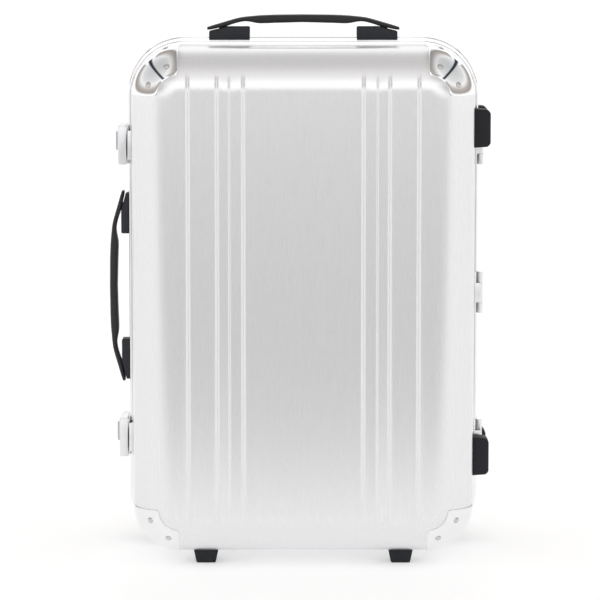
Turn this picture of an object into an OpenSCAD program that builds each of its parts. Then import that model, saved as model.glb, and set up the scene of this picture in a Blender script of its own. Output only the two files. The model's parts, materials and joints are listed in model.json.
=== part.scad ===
// Upright cabin case on two wheels: a lid and a base of drawn sheet, closed by a two-part
// frame, with draw latches, strap handles, corner protectors and a telescopic pull handle.
// X runs across the case, -Y is the front (lid) side and +Z is up. The case stands on Z = 0.

/* [Case] */
// Width over the closing frame
frame_w = 362; // [330:1:440]
// Height over the closing frame
frame_h = 530; // [470:1:640]
// Depth over both shells, without their beads
case_d = 230; // [215:1:290]
// Gap between the frame and the floor
ground_gap = 7; // [6:0.5:14]

/* [Shells] */
// Sheet thickness
sheet_t = 1.2; // [0.8:0.1:2]
// Corner radius of the shells, seen from the front
corner_r = 50; // [48:1:58]
// Radius between a shell's face and its walls
edge_r = 40; // [34:1:42]
// Height of a pressed bead
bead_h = 1.5; // [0.8:0.1:2]
// Width of a pressed bead
bead_w = 4.6; // [3.5:0.1:6]

/* [Closing frame] */
// How far the base rail stands out from the shell
base_lip = 8; // [7:0.5:12]
// Depth of the base rail
base_rail_d = 22; // [20:0.5:30]
// How far the lid rail stands out from the shell
lid_lip = 4.3; // [3:0.1:6]
// Depth of the lid rail
lid_rail_d = 12; // [10:0.5:18]
// Open seam between the two rails
seam = 0.6; // [0.4:0.1:1.2]

/* [Corner protectors] */
// Reach of a protector from the outer walls
guard_reach = 47; // [42:0.5:47]
// Plate thickness
guard_t = 1.2; // [0.8:0.1:2]
// Radius of the scallop cut into a protector
scallop_r = 22; // [16:0.5:25]
// Rivet head radius
rivet_head_r = 3; // [2.2:0.1:4]
// Rivet shank radius
rivet_r = 1.6; // [1.2:0.1:2]

/* [Strap handles] */
// Length of a strap, tip to tip
strap_len = 199; // [190:1:230]
// Width of a strap
strap_w = 20; // [16:0.5:20]
// Height of the top handle above the frame
top_crest = 23; // [21:0.5:30]
// Height of the side handle above the frame
side_crest = 20.6; // [20:0.1:30]
// Height of the side handle's middle above the middle of the case
side_handle_up = 6; // [0:1:20]
// Length of a handle mount
mount_len = 42; // [38:1:46]
// How far a strap lifts
strap_lift = 5; // [3:0.5:6]

/* [Latches] */
// Height of a latch
latch_h = 40; // [34:1:50]
// Latch centres above and below the middle of the case
latch_up = 154; // [145:1:175]
// How far a closed lever stands out from the frame
lever_out = 10.5; // [9.5:0.5:14]
// How far a lever reaches in front of the seam
lever_front = 11; // [9:0.5:11.5]
// Radius of a combination dial
dial_r = 5.2; // [4.8:0.1:5.6]
// Width of a combination dial
dial_w = 6.2; // [5:0.1:7]

/* [Hinges] */
// Height of a hinge
hinge_h = 43; // [36:1:50]
// Distance from the middle hinge to each outer hinge
hinge_pitch = 155; // [145:1:175]
// Knuckle radius
knuckle_r = 2.7; // [2.4:0.1:3.2]
// Hinge pin radius
hinge_pin_r = 1.25; // [1:0.05:1.5]

/* [Feet] */
// Distance of each bottom foot from the middle
foot_x = 100; // [70:1:105]
// Distance of the bottom feet in front of the seam
foot_y = 59; // [45:1:60]
// Reach of the side feet from the shell wall
side_foot_out = 19; // [16:0.5:22]
// Height of a side foot
side_foot_h = 40; // [34:1:46]
// Side feet centres above and below the middle of the case
side_foot_up = 173; // [165:1:178]

/* [Wheels] */
// Wheel radius
wheel_r = 25; // [22:0.5:26]
// Tyre width
wheel_w = 20; // [16:0.5:21]
// Distance of each wheel from the middle
wheel_x = 138; // [134:1:140]
// Distance of the axles behind the seam
wheel_y = 80; // [76:1:84]
// Axle radius
axle_r = 3; // [2.5:0.1:4]

/* [Pull handle] */
// Distance of each tube from the middle
tube_x = 62; // [50:1:70]
// Width of an outer tube
tube_w = 28; // [26:0.5:32]
// Depth of an outer tube
tube_d = 18; // [17:0.5:20]
// Travel of each telescopic stage
stage_travel = 225; // [150:5:260]
// Length of the grip
grip_w = 164; // [156:1:170]
// Travel of the release button
button_travel = 4; // [2:0.5:5]

/* [Hidden] */
$fn = 48;

// Clearances
gap = 0.3;        // between parts that only pass each other
running = 0.05;   // radial, between a shaft and what turns on it

// Shells
half_d = case_d / 2;
shell_w = frame_w - 2 * base_lip;
shell_h = frame_h - 2 * base_lip;
mid_z = ground_gap + frame_h / 2;
shell_floor = ground_gap + base_lip;
shell_top = shell_floor + shell_h;
flat_d = half_d - edge_r;               // depth of a shell wall up to the rounded edge
axis_x = shell_w / 2 - corner_r;        // corner axes, seen from the front
axis_z = shell_h / 2 - corner_r;
bead_x = [60.4, 74.4, 86.7, 116];
bead_run = 5;                           // how far a bead runs on into the rounded edge

// Closing frame
web_t = 2;                              // web under the sheet's edge
flange_t = 2.5;                         // inner flange of the lid rail
tongue_t = 1.5;
tongue_h = 4;
flange_d = 14;
seal_w = 2.4;
seal_depth = 1;
base_flange_t = flange_t + gap + tongue_t;
lid_rail_x = shell_w / 2 + lid_lip;     // outer faces of the rails
rail_x = frame_w / 2;
rail_top = ground_gap + frame_h;
rail_mid = base_rail_d / 2;             // depth at which the handles stand on the base rail

// Rivets: [angle round the corner, tilt from the face] on the face, and angles on the walls
face_rivets = [[23.6, 38.5], [66.4, 38.5]];
wall_rivets = [20, 70];
rivet_wall_d = 45;
rivet_head_h = 1.2;
rivet_len = guard_t + sheet_t + 1.5;

// Hinges
hinge_x = rail_x + knuckle_r + gap;
leaf_t = 1.5;
knuckle_h = 11;
hinge_z = [mid_z - hinge_pitch, mid_z, mid_z + hinge_pitch];

// Latches
plate_t = 2;
lever_h = latch_h;
lever_x = -(rail_x + lever_out);
lever_in = -(rail_x + plate_t + gap);   // inner face of a closed lever
pivot_r = 3.6;
pivot_x = lever_in - pivot_r;
pivot_y = 36;
latch_pin_r = 1.5;
latch_plate_y = [web_t, pivot_y + 6];
dial_x = -(rail_x + plate_t + gap + dial_r + 1.2);
dial_y = 15;
dial_up = 3;                            // dials above the latch centre
spindle_r = 1.4;
dial_gap = 0.15;
keeper_h = 30;
latch_z = [mid_z + latch_up, mid_z - latch_up + 3];

// Strap handles: heights above the rail are measured down from the crest
stem_x = 83;
stem_w = 8;
stem_d = 12;
stem_up = 1.5;                          // stem foot above the rail when down
stem_drop = 10;                         // stem top below the crest
mount_drop = 12.4;                      // mount top below the crest
slant_drop = 4.8;                       // fall of a mount's slanted end
mount_edge = 1;
mount_out = strap_len / 2 - 2.3;
mount_in = mount_out - mount_len;
side_handle_z = mid_z + side_handle_up;

// Feet
foot_top_w = 26;
foot_bottom_w = 19.5;
foot_d = 26;
side_foot_d = 26;
side_foot_taper = 2;
foot_z = [mid_z + side_foot_up, mid_z - side_foot_up + 6];

// Wheels
well_gap = 3;
hub_r = wheel_r - 6;
bearing_r = 8;
bearing_w = 5;
housing_in = wheel_x - wheel_w / 2 - well_gap - 20;
housing_y = wheel_y - wheel_r - well_gap - 6;
ear_in = wheel_x + wheel_w / 2 + 3;
ear_t = 6;
ear_r = 11;
axle_head_r = 5;
axle_head_t = 1.8;
hub_bore = 1;                           // clearance of the hub's bore round the axle
pocket_r = (hub_r - bearing_r) / 2 - 2.1; // leaves 2.1 of rim and of bearing seat
pocket_depth = 4;

// Pull handle
tube_wall = 1.5;
tube_y = 88;
slide_gap = 0.3;
mid_w = tube_w - 2 * (tube_wall + slide_gap);
mid_d = tube_d - 2 * (tube_wall + slide_gap);
inner_w = mid_w - 2 * (tube_wall + slide_gap);
inner_d = mid_d - 2 * (tube_wall + slide_gap);
cup_rise = 1.6;                         // cup rim above the shell
cup_wall = 2.5;
cup_y = [60, 103];
cup_depth = 32;
cup_w = grip_w + 2 * (cup_wall + 2);
cup_top = shell_top + cup_rise;
cup_floor = cup_top - cup_depth;
tube_foot = shell_floor + 12;
grip_h = 25;
grip_d = 21;
grip_bottom = cup_floor + cup_wall + 4;
grip_top = grip_bottom + grip_h;
grip_socket = 8;                        // how far the inner tubes go into the grip
stage_step = 8;                         // each stage's foot above the one outside it
button_w = 36;
button_d = 11;
button_t = 3;
button_sunk = 1.7;                      // how far a button at rest sits in the grip

// Lining and packing straps
lining_t = 1;
lining_gap = 0.3;
lining_floor = 70;
strap_z = [mid_z - 105, mid_z + 100];
web_w = 30;
web_thick = 1.6;
buckle_w = 58;

// The origin is under the middle of the whole object, so the case stands beside it
case_x = ((rail_x + side_crest) - (shell_w / 2 + side_foot_out)) / 2;

// ---------- Placing ----------

// Case coordinates: seam at Y = 0, the case's middle at X = 0, the floor at Z = 0
module on_case() translate([case_x, 0, 0]) children();

// Plan coordinates of a half: X across, Y up from the middle, Z away from the seam
module lid_half() on_case() translate([0, 0, mid_z]) rotate([90, 0, 0]) children();
module base_half()
    on_case() translate([0, 0, mid_z]) mirror([0, 1, 0]) rotate([90, 0, 0]) children();

// A corner of a half: sx and sy are 1 or -1, and the children lie in the first quadrant
module at_corner(sx, sy)
    translate([sx * axis_x, sy * axis_z, 0])
        mirror([sx < 0 ? 1 : 0, 0, 0]) mirror([0, sy < 0 ? 1 : 0, 0]) children();

// Top, left or right handle place: X along the strap, Y outward from the rail, Z across it
module on_top_rail()
    on_case() translate([0, rail_mid, rail_top]) rotate([90, 0, 0]) children();
module on_side_rail()
    on_case() translate([-rail_x, rail_mid, side_handle_z])
        rotate([0, -90, 0]) rotate([90, 0, 0]) children();

// ---------- Shared shapes ----------

// Rectangle with rounded corners, centred
module rounded_rect(w, h, r) {
    square([w - 2 * r, h], center = true);
    square([w, h - 2 * r], center = true);
    for (sx = [-1, 1], sy = [-1, 1])
        translate([sx * (w / 2 - r), sy * (h / 2 - r)]) circle(r, $fn = 96);
}

// Flat ring in plan coordinates: from "inset" inside the shell's outer wall to "outset" outside
module ring(inset, outset, z0, z1)
    translate([0, 0, z0]) linear_extrude(z1 - z0) difference() {
        rounded_rect(shell_w + 2 * outset, shell_h + 2 * outset, corner_r + outset);
        rounded_rect(shell_w - 2 * inset, shell_h - 2 * inset, corner_r - inset);
    }

// Section of a half shell beside a corner axis: wall, rounded edge and face.
// "out" moves the outer surface outward and t is the thickness
module tray_section(out, t, start) {
    radius = edge_r + out;
    translate([corner_r + out - t, start]) square([t, flat_d - start]);
    translate([0, half_d + out - t]) square([corner_r - edge_r, t]);
    translate([corner_r - edge_r, flat_d]) intersection() {
        difference() {
            circle(radius, $fn = 128);
            circle(radius - t, $fn = 128);
        }
        square(radius + 1);
    }
}

// One straight wall, running along Y and centred on it
module straight_wall(length, out, t, start)
    translate([0, length / 2, 0]) rotate([90, 0, 0])
        linear_extrude(length) tray_section(out, t, start);

// Half shell: four walls, four corners and the face
module tray(out, t, start) {
    for (side = [0, 1]) rotate([0, 0, 180 * side]) {
        translate([axis_x, 0, 0]) straight_wall(2 * axis_z, out, t, start);
        rotate([0, 0, 90]) translate([axis_z, 0, 0]) straight_wall(2 * axis_x, out, t, start);
    }
    for (sx = [-1, 1], sy = [-1, 1])
        at_corner(sx, sy) rotate_extrude(angle = 90, $fn = 128) tray_section(out, t, start);
    translate([-axis_x, -axis_z, half_d + out - t]) cube([2 * axis_x, 2 * axis_z, t]);
}

// Pressed beads on the face of a half
module beads() {
    run = axis_z + corner_r - edge_r + bead_run;
    for (sx = [-1, 1], x = bead_x)
        translate([sx * x, run, half_d]) rotate([90, 0, 0]) linear_extrude(2 * run)
            intersection() {
                translate([0, bead_h - bead_w / 2]) circle(bead_w / 2);
                translate([-bead_w, -sheet_t / 2]) square([2 * bead_w, 2 * bead_w]);
            }
}

// Puts its children on each rivet place of a corner, with Z out of the surface
module at_rivets() {
    for (place = face_rivets)
        rotate([0, 0, place[0]]) translate([corner_r - edge_r, 0, flat_d])
            rotate([0, place[1], 0]) translate([0, 0, edge_r]) children();
    for (angle = wall_rivets)
        rotate([0, 0, angle]) translate([corner_r, 0, rivet_wall_d]) rotate([0, 90, 0]) children();
}

module rivet_bore() translate([0, 0, -rivet_len]) cylinder(r = rivet_r, h = 2 * rivet_len);

// Domed rivet through a protector and the sheet
module rivet() {
    head_sphere = (rivet_head_r * rivet_head_r + rivet_head_h * rivet_head_h) / (2 * rivet_head_h);
    translate([0, 0, guard_t]) intersection() {
        translate([0, 0, rivet_head_h - head_sphere]) sphere(head_sphere);
        cylinder(r = rivet_head_r + 1, h = rivet_head_h + 1);
    }
    translate([0, 0, guard_t - rivet_len]) cylinder(r = rivet_r, h = rivet_len);
}

// Corner protector, in a corner's coordinates
module protector(start) {
    inner = corner_r - guard_reach;
    difference() {
        intersection() {
            rotate_extrude(angle = 90, $fn = 128) tray_section(guard_t, guard_t, start);
            translate([inner, inner, 0]) cube([corner_r + 10, corner_r + 10, half_d + 10]);
        }
        translate([2, 2, 0]) cylinder(r = scallop_r, h = half_d + 10, $fn = 96);
        at_rivets() rivet_bore();
    }
}

// ---------- Lid ----------

module front_shell() color("silver") lid_half() difference() {
    union() {
        tray(0, sheet_t, seam / 2 + web_t);
        beads();
    }
    for (sx = [-1, 1], sy = [-1, 1]) at_corner(sx, sy) at_rivets() rivet_bore();
}

module front_frame() color("gainsboro") lid_half() {
    ring(sheet_t + flange_t, lid_lip, seam / 2, seam / 2 + web_t);
    ring(0, lid_lip, seam / 2 + web_t, lid_rail_d);
    ring(sheet_t + flange_t, -sheet_t, seam / 2 + web_t, flange_d);
}

module front_protector(sx, sy)
    color("lightgray") lid_half() at_corner(sx, sy) protector(lid_rail_d + gap);

module front_rivets() color("gray") lid_half()
    for (sx = [-1, 1], sy = [-1, 1]) at_corner(sx, sy) at_rivets() rivet();

// Leaf on the lid rail with the middle knuckle of each hinge
module hinge_lid_leaves() color("silver") on_case() for (z = hinge_z) translate([0, 0, z])
    difference() {
        union() {
            translate([lid_rail_x, -lid_rail_d + 1, -hinge_h / 2])
                cube([leaf_t, lid_rail_d - 1 - knuckle_r, hinge_h]);
            translate([lid_rail_x, -knuckle_r - 1, gap + knuckle_h - hinge_h / 2])
                cube([hinge_x - lid_rail_x, knuckle_r + 1 - gap, hinge_h - 2 * (knuckle_h + gap)]);
            translate([hinge_x, 0, gap + knuckle_h - hinge_h / 2])
                cylinder(r = knuckle_r, h = hinge_h - 2 * (knuckle_h + gap));
        }
        translate([hinge_x, 0, -hinge_h]) cylinder(r = hinge_pin_r + running, h = 2 * hinge_h);
    }

// Hooked lip that the latch lever closes over
module latch_keeper(z) color("silver") on_case() translate([-lid_rail_x, 0, z])
    translate([0, 0, -keeper_h / 2]) linear_extrude(keeper_h) polygon([
        [0, -lid_rail_d + 1], [0, -web_t - 1], [-2, -web_t - 1], [-2, -lid_rail_d + 4],
        [-lever_out / 2 + 1, -lid_rail_d + 3], [-lever_out / 2 + 1, -lid_rail_d + 1]
    ]);

// Rubber block on the right-hand wall, drawn beside a rail of depth rail_d
module side_foot(z, rail_d)
    translate([shell_w / 2, rail_d + gap, z]) mirror([0, 1, 0]) rotate([90, 0, 0])
        linear_extrude(side_foot_d) polygon([
            [0, -side_foot_h / 2], [side_foot_out - 3, -side_foot_h / 2 + 1],
            [side_foot_out, -side_foot_h / 2 + side_foot_taper + 2],
            [side_foot_out, side_foot_h / 2 - side_foot_taper - 2],
            [side_foot_out - 3, side_foot_h / 2 - 1], [0, side_foot_h / 2]
        ]);

module lid_side_feet() color("dimgray") on_case() mirror([0, 1, 0])
    for (z = foot_z) side_foot(z, lid_rail_d);

// Tapered feet under the lid, level with the wheels' lowest points
module bottom_feet() color("dimgray") on_case() for (sx = [-1, 1])
    translate([sx * foot_x, -foot_y + foot_d / 2, 0]) rotate([90, 0, 0])
        linear_extrude(foot_d) polygon([
            [-foot_top_w / 2, shell_floor], [-foot_bottom_w / 2, 0],
            [foot_bottom_w / 2, 0], [foot_top_w / 2, shell_floor]
        ]);

module lid_lining() color("darkslategray") lid_half()
    tray(-sheet_t - rivet_len - lining_gap, lining_t, flange_d + gap);

// ---------- Base ----------

module cup_hole(extra)
    translate([-cup_w / 2 - extra, cup_y[0] - extra, cup_floor - extra])
        cube([cup_w + 2 * extra, cup_y[1] - cup_y[0] + 2 * extra, cup_depth + 20]);

// Block around a wheel housing, in case coordinates
module housing_hole(sx, extra)
    mirror([sx < 0 ? 1 : 0, 0, 0])
        translate([housing_in - extra, housing_y - extra, -1])
            cube([frame_w, case_d, shell_floor + corner_r + 1 + extra]);

module back_shell() color("silver") difference() {
    base_half() difference() {
        union() {
            tray(0, sheet_t, seam / 2 + web_t);
            beads();
        }
        for (sx = [-1, 1]) at_corner(sx, 1) at_rivets() rivet_bore();
    }
    on_case() {
        cup_hole(0);
        for (sx = [-1, 1]) housing_hole(sx, 0);
    }
}

module back_frame() color("gainsboro") base_half() difference() {
    union() {
        ring(sheet_t + base_flange_t, base_lip, seam / 2, seam / 2 + web_t);
        ring(0, base_lip, seam / 2 + web_t, base_rail_d);
        ring(sheet_t + base_flange_t, -sheet_t, seam / 2 + web_t, flange_d);
        ring(sheet_t + base_flange_t, -sheet_t - flange_t - gap, -tongue_h, seam / 2);
    }
    ring(seal_w / 2, seal_w / 2, -1, seam / 2 + seal_depth);
}

module frame_seal() color("black") base_half()
    ring(seal_w / 2, seal_w / 2, -seam / 2 + running, seam / 2 + seal_depth);

module back_protector(sx)
    color("lightgray") base_half() at_corner(sx, 1) protector(base_rail_d + gap);

module back_rivets() color("gray") base_half()
    for (sx = [-1, 1]) at_corner(sx, 1) at_rivets() rivet();

// Leaf on the base rail with the two outer knuckles of each hinge
module hinge_base_leaves() color("silver") on_case() for (z = hinge_z) translate([0, 0, z])
    difference() {
        union() {
            translate([rail_x, knuckle_r, -hinge_h / 2])
                cube([leaf_t, base_rail_d - 1 - knuckle_r, hinge_h]);
            for (z0 = [-hinge_h / 2, hinge_h / 2 - knuckle_h]) translate([0, 0, z0]) {
                translate([rail_x, 0, 0]) cube([hinge_x - rail_x, knuckle_r + 1, knuckle_h]);
                translate([hinge_x, 0, 0]) cylinder(r = knuckle_r, h = knuckle_h);
            }
        }
        translate([hinge_x, 0, -hinge_h]) cylinder(r = hinge_pin_r, h = 2 * hinge_h);
    }

module hinge_pins() color("gray") on_case() for (z = hinge_z)
    translate([hinge_x, 0, z - hinge_h / 2]) cylinder(r = hinge_pin_r, h = hinge_h);

// Plate on the rail, a pad down to the shell behind it, and ears for the lever's pin
module latch_base(z) color("silver") on_case() translate([0, 0, z]) difference() {
    union() {
        translate([-rail_x - plate_t, latch_plate_y[0], -latch_h / 2])
            cube([plate_t, latch_plate_y[1] - latch_plate_y[0], latch_h]);
        translate([-rail_x - plate_t, base_rail_d, -latch_h / 2])
            cube([plate_t + base_lip, latch_plate_y[1] - base_rail_d, latch_h]);
        for (z0 = [-latch_h / 2, latch_h / 2 - plate_t]) translate([0, 0, z0]) {
            translate([pivot_x, pivot_y - pivot_r, 0])
                cube([-rail_x - pivot_x, 2 * pivot_r, plate_t]);
            translate([pivot_x, pivot_y, 0]) cylinder(r = pivot_r, h = plate_t);
        }
    }
    translate([pivot_x, pivot_y, -latch_h]) cylinder(r = latch_pin_r, h = 2 * latch_h);
}

module latch_pins() color("gray") on_case() for (z = latch_z)
    translate([pivot_x, pivot_y, z - latch_h / 2]) cylinder(r = latch_pin_r, h = latch_h);

// Moulded block with a slanted outer end and a pocket for the strap's stem
module handle_mount(crest) {
    top = crest - mount_drop;
    difference() {
        translate([0, 0, -strap_w / 2 + 0.5]) linear_extrude(strap_w - 1) polygon([
            [mount_in, 0], [mount_in, top - mount_edge], [mount_in + mount_edge, top],
            [stem_x - stem_w / 2 - mount_edge, top], [mount_out, top - slant_drop], [mount_out, 0]
        ]);
        translate([stem_x - stem_w / 2 - gap, stem_up - gap, -stem_d / 2 - gap])
            cube([stem_w + 2 * gap, crest, stem_d + 2 * gap]);
    }
}

module top_handle_mounts() color("dimgray") on_top_rail()
    for (end = [0, 1]) mirror([end, 0, 0]) handle_mount(top_crest);

module side_handle_mounts() color("dimgray") on_side_rail()
    for (end = [0, 1]) mirror([end, 0, 0]) handle_mount(side_crest);

module base_side_feet() color("dimgray") on_case() for (z = foot_z) side_foot(z, base_rail_d);

// Cuts the room for the cup and the wheel housings out of what is drawn in the base
module clear_of_fittings() difference() {
    base_half() children();
    on_case() {
        cup_hole(gap);
        for (sx = [-1, 1]) housing_hole(sx, gap);
    }
}

// Flat lining in front of the pull handle's tubes
module base_lining_floor() color("darkslategray") clear_of_fittings()
    translate([0, 0, lining_floor - lining_t]) linear_extrude(lining_t)
        rounded_rect(shell_w - 2 * (sheet_t + base_flange_t),
                     shell_h - 2 * (sheet_t + base_flange_t),
                     corner_r - sheet_t - base_flange_t);

// Straight lining round the walls, from the frame's flange to the floor's edge
module base_lining_walls() color("darkslategray") clear_of_fittings()
    ring(sheet_t + base_flange_t, -sheet_t - base_flange_t + lining_t,
         flange_d + gap, lining_floor - lining_t);

// Moulded corner around a wheel, flush with the shell, with an ear outside the wheel
module wheel_housing(sx) color("dimgray") on_case() mirror([sx < 0 ? 1 : 0, 0, 0])
    difference() {
        union() {
            intersection() {
                translate([0, 0, mid_z]) mirror([0, 1, 0]) rotate([90, 0, 0])
                    at_corner(1, -1) rotate_extrude(angle = 90, $fn = 128) solid_section();
                translate([0, housing_y, 0]) cube([frame_w, case_d, frame_h]);
            }
            translate([housing_in, 0, shell_floor + corner_r]) rotate([0, 90, 0])
                linear_extrude(axis_x - housing_in) intersection() {
                    solid_section();
                    translate([0, housing_y]) square([2 * corner_r, case_d]);
                }
            translate([ear_in, wheel_y, wheel_r]) rotate([0, 90, 0]) cylinder(r = ear_r, h = ear_t);
            translate([ear_in, wheel_y - ear_r, wheel_r])
                cube([ear_t, 2 * ear_r, shell_floor + corner_r - wheel_r]);
        }
        translate([wheel_x - wheel_w / 2 - well_gap, wheel_y, wheel_r]) rotate([0, 90, 0])
            cylinder(r = wheel_r + well_gap, h = wheel_w + well_gap + 3);
        translate([wheel_x - wheel_w / 2 - well_gap, wheel_y - wheel_r - well_gap, 0])
            cube([wheel_w + well_gap + 3, 2 * (wheel_r + well_gap), wheel_r]);
        translate([0, wheel_y, wheel_r]) rotate([0, 90, 0]) cylinder(r = axle_r, h = frame_w);
        translate([ear_in + ear_t, wheel_y, wheel_r]) rotate([0, 90, 0])
            cylinder(r = axle_head_r + gap, h = frame_w);
    }

// Filled section of a half shell beside a corner axis
module solid_section() {
    square([corner_r, flat_d]);
    square([corner_r - edge_r, half_d]);
    translate([corner_r - edge_r, flat_d]) intersection() {
        circle(edge_r, $fn = 128);
        square(edge_r + 1);
    }
}

module wheel_axles() color("gray") on_case() for (sx = [-1, 1])
    mirror([sx < 0 ? 1 : 0, 0, 0]) translate([housing_in + 4, wheel_y, wheel_r])
        rotate([0, 90, 0]) {
            cylinder(r = axle_r, h = ear_in + ear_t - housing_in - 4);
            translate([0, 0, ear_in + ear_t - housing_in - 4])
                cylinder(r = axle_head_r, h = axle_head_t);
        }

// One bearing at each side of each wheel
module wheel_bearings() color("gainsboro") on_case() for (sx = [-1, 1], end = [-1, 1])
    translate([sx * wheel_x + end * (wheel_w - bearing_w) / 2 - bearing_w / 2, wheel_y, wheel_r])
        rotate([0, 90, 0]) difference() {
            cylinder(r = bearing_r, h = bearing_w);
            translate([0, 0, -1]) cylinder(r = axle_r, h = bearing_w + 2);
        }

// Rectangular tube or bar with rounded corners along Z
module tube(w, d, wall, z0, z1)
    translate([0, 0, z0]) linear_extrude(z1 - z0) difference() {
        rounded_rect(w, d, 3);
        rounded_rect(w - 2 * wall, d - 2 * wall, 3 - wall);
    }

module at_tubes() on_case() for (sx = [-1, 1]) translate([sx * tube_x, tube_y, 0]) children();

module trolley_outer_tubes() color("silver") at_tubes()
    tube(tube_w, tube_d, tube_wall, tube_foot, cup_floor);

// Open cup in the top of the base that the grip sinks into
module trolley_cup() color("dimgray") on_case() difference() {
    translate([0, (cup_y[0] + cup_y[1]) / 2, cup_floor]) linear_extrude(cup_depth)
        rounded_rect(cup_w, cup_y[1] - cup_y[0], 4);
    translate([0, (cup_y[0] + cup_y[1]) / 2, cup_floor + cup_wall]) linear_extrude(cup_depth)
        rounded_rect(cup_w - 2 * cup_wall, cup_y[1] - cup_y[0] - 2 * cup_wall, 2);
    for (sx = [-1, 1]) translate([sx * tube_x, tube_y, cup_floor - 1])
        linear_extrude(cup_depth) rounded_rect(mid_w + 2 * gap, mid_d + 2 * gap, 2);
}

// Two belts across the base, each in two halves that meet at a buckle
module packing_straps() color("slategray") on_case() for (z = strap_z, sx = [-1, 1])
    mirror([sx < 0 ? 1 : 0, 0, 0])
        translate([buckle_w / 2, lining_floor - lining_t - gap - web_thick, z - web_w / 2])
            cube([shell_w / 2 - 12 - buckle_w / 2, web_thick, web_w]);

module strap_buckles() color("dimgray") on_case() for (z = strap_z)
    translate([-buckle_w / 2, lining_floor - lining_t - gap - 7, z - web_w / 2 - 3]) difference() {
        cube([buckle_w, 7, web_w + 6]);
        for (x = [8, buckle_w - 14]) translate([x, -1, 4]) cube([6, 9, web_w - 2]);
    }

// ---------- Latch levers and dials ----------

// Hollow lever: it tapers towards its pin and has a window for the dials
module latch_lever(z) color("gainsboro") on_case() translate([0, 0, z]) {
    h = lever_h - 2 * (plate_t + gap);
    window = [3 * dial_w + 4 * dial_gap, 2 * dial_r + 1];
    difference() {
        union() {
            translate([0, 0, -lever_h / 2]) linear_extrude(lever_h) polygon([
                [lever_in, -lever_front], [lever_x + 1, -lever_front],
                [lever_x, -lever_front + 1], [lever_x, pivot_y - 14],
                [lever_x + 1, pivot_y - pivot_r - gap], [lever_in, pivot_y - pivot_r - gap]
            ]);
            translate([0, 0, -h / 2]) {
                translate([pivot_x - pivot_r, pivot_y - pivot_r - 1, 0])
                    cube([2 * pivot_r, pivot_r + 1, h]);
                translate([pivot_x, pivot_y, 0]) cylinder(r = pivot_r, h = h);
            }
        }
        translate([pivot_x, pivot_y, -lever_h]) cylinder(r = latch_pin_r + running, h = 2 * lever_h);
        translate([lever_x - 1, dial_y - window[1] / 2, dial_up - window[0] / 2])
            cube([2 * lever_out, window[1], window[0]]);
        translate([dial_x, dial_y, dial_up - window[0] / 2 - 4])
            cylinder(r = spindle_r, h = window[0] + 8);
        translate([lever_in - 3.2, -lever_front - 1, -keeper_h / 2 - 1])
            cube([lever_out, lever_front + 1, keeper_h + 2]);
    }
}

module dial_spindle(z) color("gray") on_case()
    translate([dial_x, dial_y, z + dial_up - 1.5 * dial_w - 2 * dial_gap - 4])
        cylinder(r = spindle_r, h = 3 * dial_w + 4 * dial_gap + 8);

// Number ring i, counted from the top, with grip notches round its rim
module dial(z, i) {
    notch_r = 0.5;
    color("gainsboro") on_case()
        translate([dial_x, dial_y, z + dial_up + (0.5 - i) * dial_w + (1 - i) * dial_gap])
            difference() {
                cylinder(r = dial_r, h = dial_w);
                translate([0, 0, -1]) cylinder(r = spindle_r + running, h = dial_w + 2);
                for (k = [0:9]) rotate([0, 0, 36 * k]) translate([dial_r + 0.1, 0, -1])
                    cylinder(r = notch_r, h = dial_w + 2, $fn = 16);
            }
}

// ---------- Carry handles ----------

// Padded strap with thin ends and two stems; its outline is drawn down from the crest
module handle_strap(crest) {
    half = strap_len / 2;
    upper = [[0, 0], [30, -0.4], [52, -1.6], [65, -2.9], [half - 0.7, -12.8]];
    lower = [[half, -16.5], [78, -11.8], [62, -7], [56, -7.1], [50, -8.6], [42.6, -9.4], [0, -8]];
    for (end = [0, 1]) mirror([end, 0, 0]) {
        translate([0, 0, -strap_w / 2]) linear_extrude(strap_w)
            translate([0, crest]) polygon(concat(upper, lower));
        translate([stem_x - stem_w / 2, stem_up, -stem_d / 2])
            cube([stem_w, crest - stem_drop - stem_up, stem_d]);
    }
}

module top_handle_strap() color("dimgray") on_top_rail() handle_strap(top_crest);
module side_handle_strap() color("dimgray") on_side_rail() handle_strap(side_crest);

// ---------- Pull handle ----------

module trolley_mid_tubes() color("gainsboro") at_tubes()
    tube(mid_w, mid_d, tube_wall, tube_foot + stage_step, cup_floor + cup_wall + 2);

module trolley_inner_tubes() color("silver") at_tubes()
    tube(inner_w, inner_d, tube_wall, tube_foot + 2 * stage_step, grip_bottom + grip_socket);

module trolley_grip() color("dimgray") on_case() difference() {
    translate([-grip_w / 2, tube_y, (grip_bottom + grip_top) / 2]) rotate([0, 90, 0])
        linear_extrude(grip_w) rounded_rect(grip_h, grip_d, 6);
    for (sx = [-1, 1]) translate([sx * tube_x, tube_y, grip_bottom - 1])
        linear_extrude(grip_socket + 1) rounded_rect(inner_w, inner_d, 3);
    translate([-button_w / 2 - gap, tube_y - button_d / 2 - gap,
               grip_top - button_sunk - gap - button_travel])
        cube([button_w + 2 * gap, button_d + 2 * gap, grip_h]);
}

module release_button() color("silver") on_case()
    translate([0, tube_y, grip_top - button_sunk]) linear_extrude(button_t)
        rounded_rect(button_w, button_d, 3);

// ---------- Wheels ----------

module at_wheel(sx) on_case() translate([sx * wheel_x, wheel_y, wheel_r]) rotate([0, 90, 0]) children();

module wheel_hub(sx) color("gainsboro") at_wheel(sx) difference() {
    translate([0, 0, -wheel_w / 2]) cylinder(r = hub_r, h = wheel_w);
    translate([0, 0, -wheel_w]) cylinder(r = axle_r + hub_bore, h = 2 * wheel_w);
    for (end = [-1, 1]) translate([0, 0, end * wheel_w / 2 - bearing_w - running])
        cylinder(r = bearing_r + running, h = 2 * (bearing_w + running));
    for (k = [0:4], end = [-1, 1]) rotate([0, 0, 72 * k])
        translate([(hub_r + bearing_r) / 2, 0, end * wheel_w / 2 - pocket_depth])
            cylinder(r = pocket_r, h = 2 * pocket_depth);
}

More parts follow.
